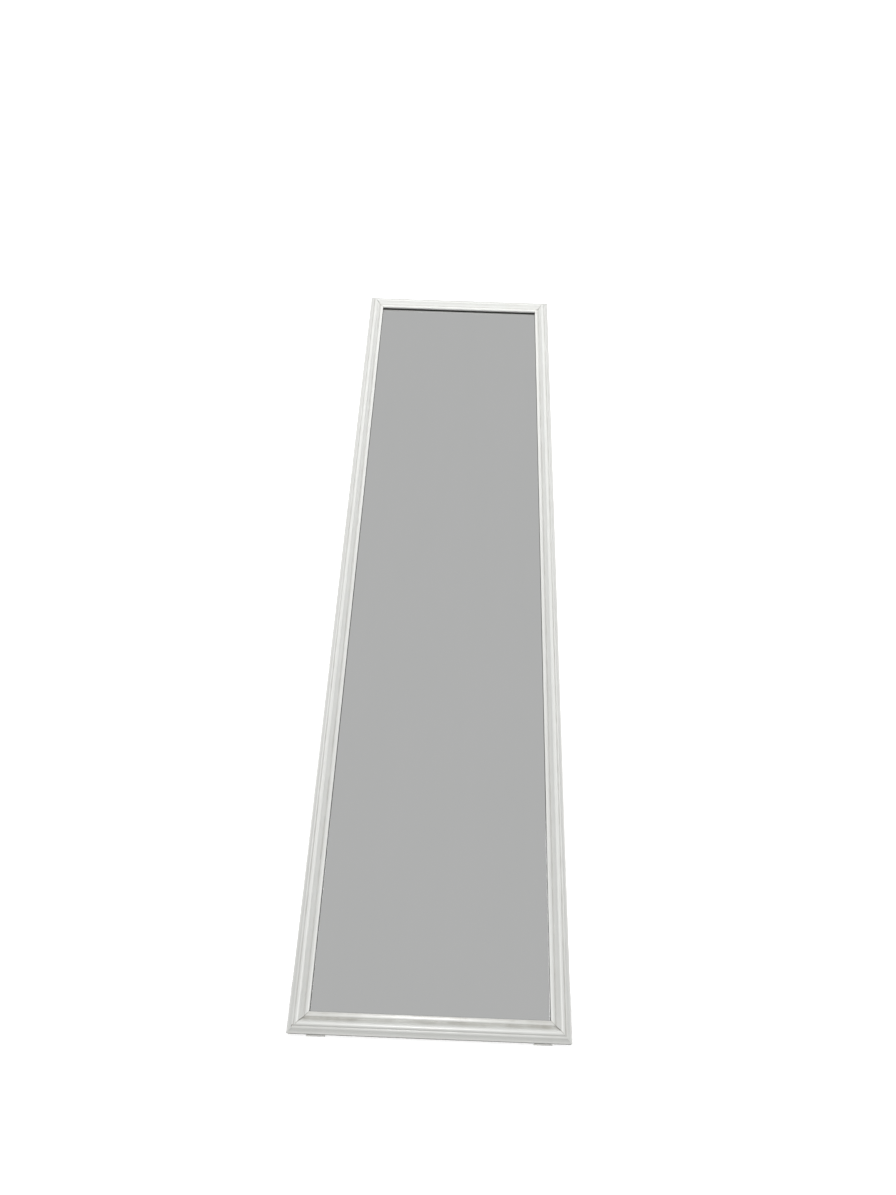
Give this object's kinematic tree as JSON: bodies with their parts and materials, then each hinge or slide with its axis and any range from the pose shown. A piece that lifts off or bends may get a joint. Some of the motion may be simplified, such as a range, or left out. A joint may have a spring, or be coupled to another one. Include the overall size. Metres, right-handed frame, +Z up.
{
  "type": "cheval floor mirror",
  "caption": "Tall narrow full-length floor mirror in a white moulded frame, leaning back on a hinged easel leg held open by slotted stay bars.",
  "frame": {"origin": "middle of the footprint, on the floor", "axes": "+Z up, the mirror faces -Y, +X is to the right of a person who looks into the mirror"},
  "size_m": [0.4, 0.4184, 1.4712],
  "materials": {
    "moulding": "satin white lacquer over a smooth moulded profile",
    "mirror": "silvered flat glass",
    "hardboard": "raw brown hardboard",
    "painted_wood": "satin white paint",
    "hinge_steel": "zinc plated",
    "stay_steel": "zinc plated, lightly brushed",
    "screw_steel": "zinc plated",
    "spring_steel": "plain bright steel",
    "rubber": "matt off-white rubber"
  },
  "bodies": {
    "mirror_frame": {"backing_board": "hardboard", "bottom_rail": "moulding", "bottom_retaining_point": "spring_steel", "hinge_batten": "painted_wood", "left_bracket_lower_screw": "screw_steel", "left_bracket_upper_screw": "screw_steel", "left_frame_pad": "rubber", "left_high_retaining_point": "spring_steel", "left_hinge_pin": "hinge_steel", "left_hinge_upper_leaf": "hinge_steel", "left_low_retaining_point": "spring_steel", "left_lower_batten_screw": "screw_steel", "left_stay_bracket": "stay_steel", "left_stay_rivet": "stay_steel", "left_stile": "moulding", "left_upper_batten_screw": "screw_steel", "left_upper_leaf_screw_1": "screw_steel", "left_upper_leaf_screw_2": "screw_steel", "lower_left_v_nail": "spring_steel", "lower_right_v_nail": "spring_steel", "mirror_glass": "mirror", "right_bracket_lower_screw": "screw_steel", "right_bracket_upper_screw": "screw_steel", "right_frame_pad": "rubber", "right_high_retaining_point": "spring_steel", "right_hinge_pin": "hinge_steel", "right_hinge_upper_leaf": "hinge_steel", "right_low_retaining_point": "spring_steel", "right_lower_batten_screw": "screw_steel", "right_stay_bracket": "stay_steel", "right_stay_rivet": "stay_steel", "right_stile": "moulding", "right_upper_batten_screw": "screw_steel", "right_upper_leaf_screw_1": "screw_steel", "right_upper_leaf_screw_2": "screw_steel", "top_rail": "moulding", "top_retaining_point": "spring_steel", "upper_left_v_nail": "spring_steel", "upper_right_v_nail": "spring_steel"},
    "easel_leg": {"left_hinge_lower_leaf": "hinge_steel", "left_leg_bar": "painted_wood", "left_leg_low_crossbar_screw": "screw_steel", "left_leg_pad": "rubber", "left_leg_top_crossbar_screw": "screw_steel", "left_lower_leaf_screw_1": "screw_steel", "left_lower_leaf_screw_2": "screw_steel", "left_stop_screw": "screw_steel", "leg_low_crossbar": "painted_wood", "leg_top_crossbar": "painted_wood", "right_hinge_lower_leaf": "hinge_steel", "right_leg_bar": "painted_wood", "right_leg_low_crossbar_screw": "screw_steel", "right_leg_pad": "rubber", "right_leg_top_crossbar_screw": "screw_steel", "right_lower_leaf_screw_1": "screw_steel", "right_lower_leaf_screw_2": "screw_steel", "right_stop_screw": "screw_steel"},
    "left_stay": {"left_stay_bar": "stay_steel"},
    "right_stay": {"right_stay_bar": "stay_steel"}
  },
  "joints": [
    {"name": "leg_fold", "type": "hinge", "parent": "mirror_frame", "child": "easel_leg", "pos_m": [0, 0.04183, 0.9742], "axis": [-1, 0, 0], "range_deg": [0, 22]},
    {"name": "left_stay_pivot", "type": "hinge", "parent": "mirror_frame", "child": "left_stay", "pos_m": [-0.1685, 0.00466, 0.85942], "axis": [-1, 0, 0], "range_deg": [0, 28.7]},
    {"name": "right_stay_pivot", "type": "hinge", "parent": "mirror_frame", "child": "right_stay", "pos_m": [0.1685, 0.00466, 0.85942], "axis": [-1, 0, 0], "range_deg": [0, 28.7]}
  ],
  "couplings": [
    {"joint": "left_stay_pivot", "follows": "leg_fold", "ratio": 1.2994},
    {"joint": "right_stay_pivot", "follows": "leg_fold", "ratio": 1.2994}
  ]
}
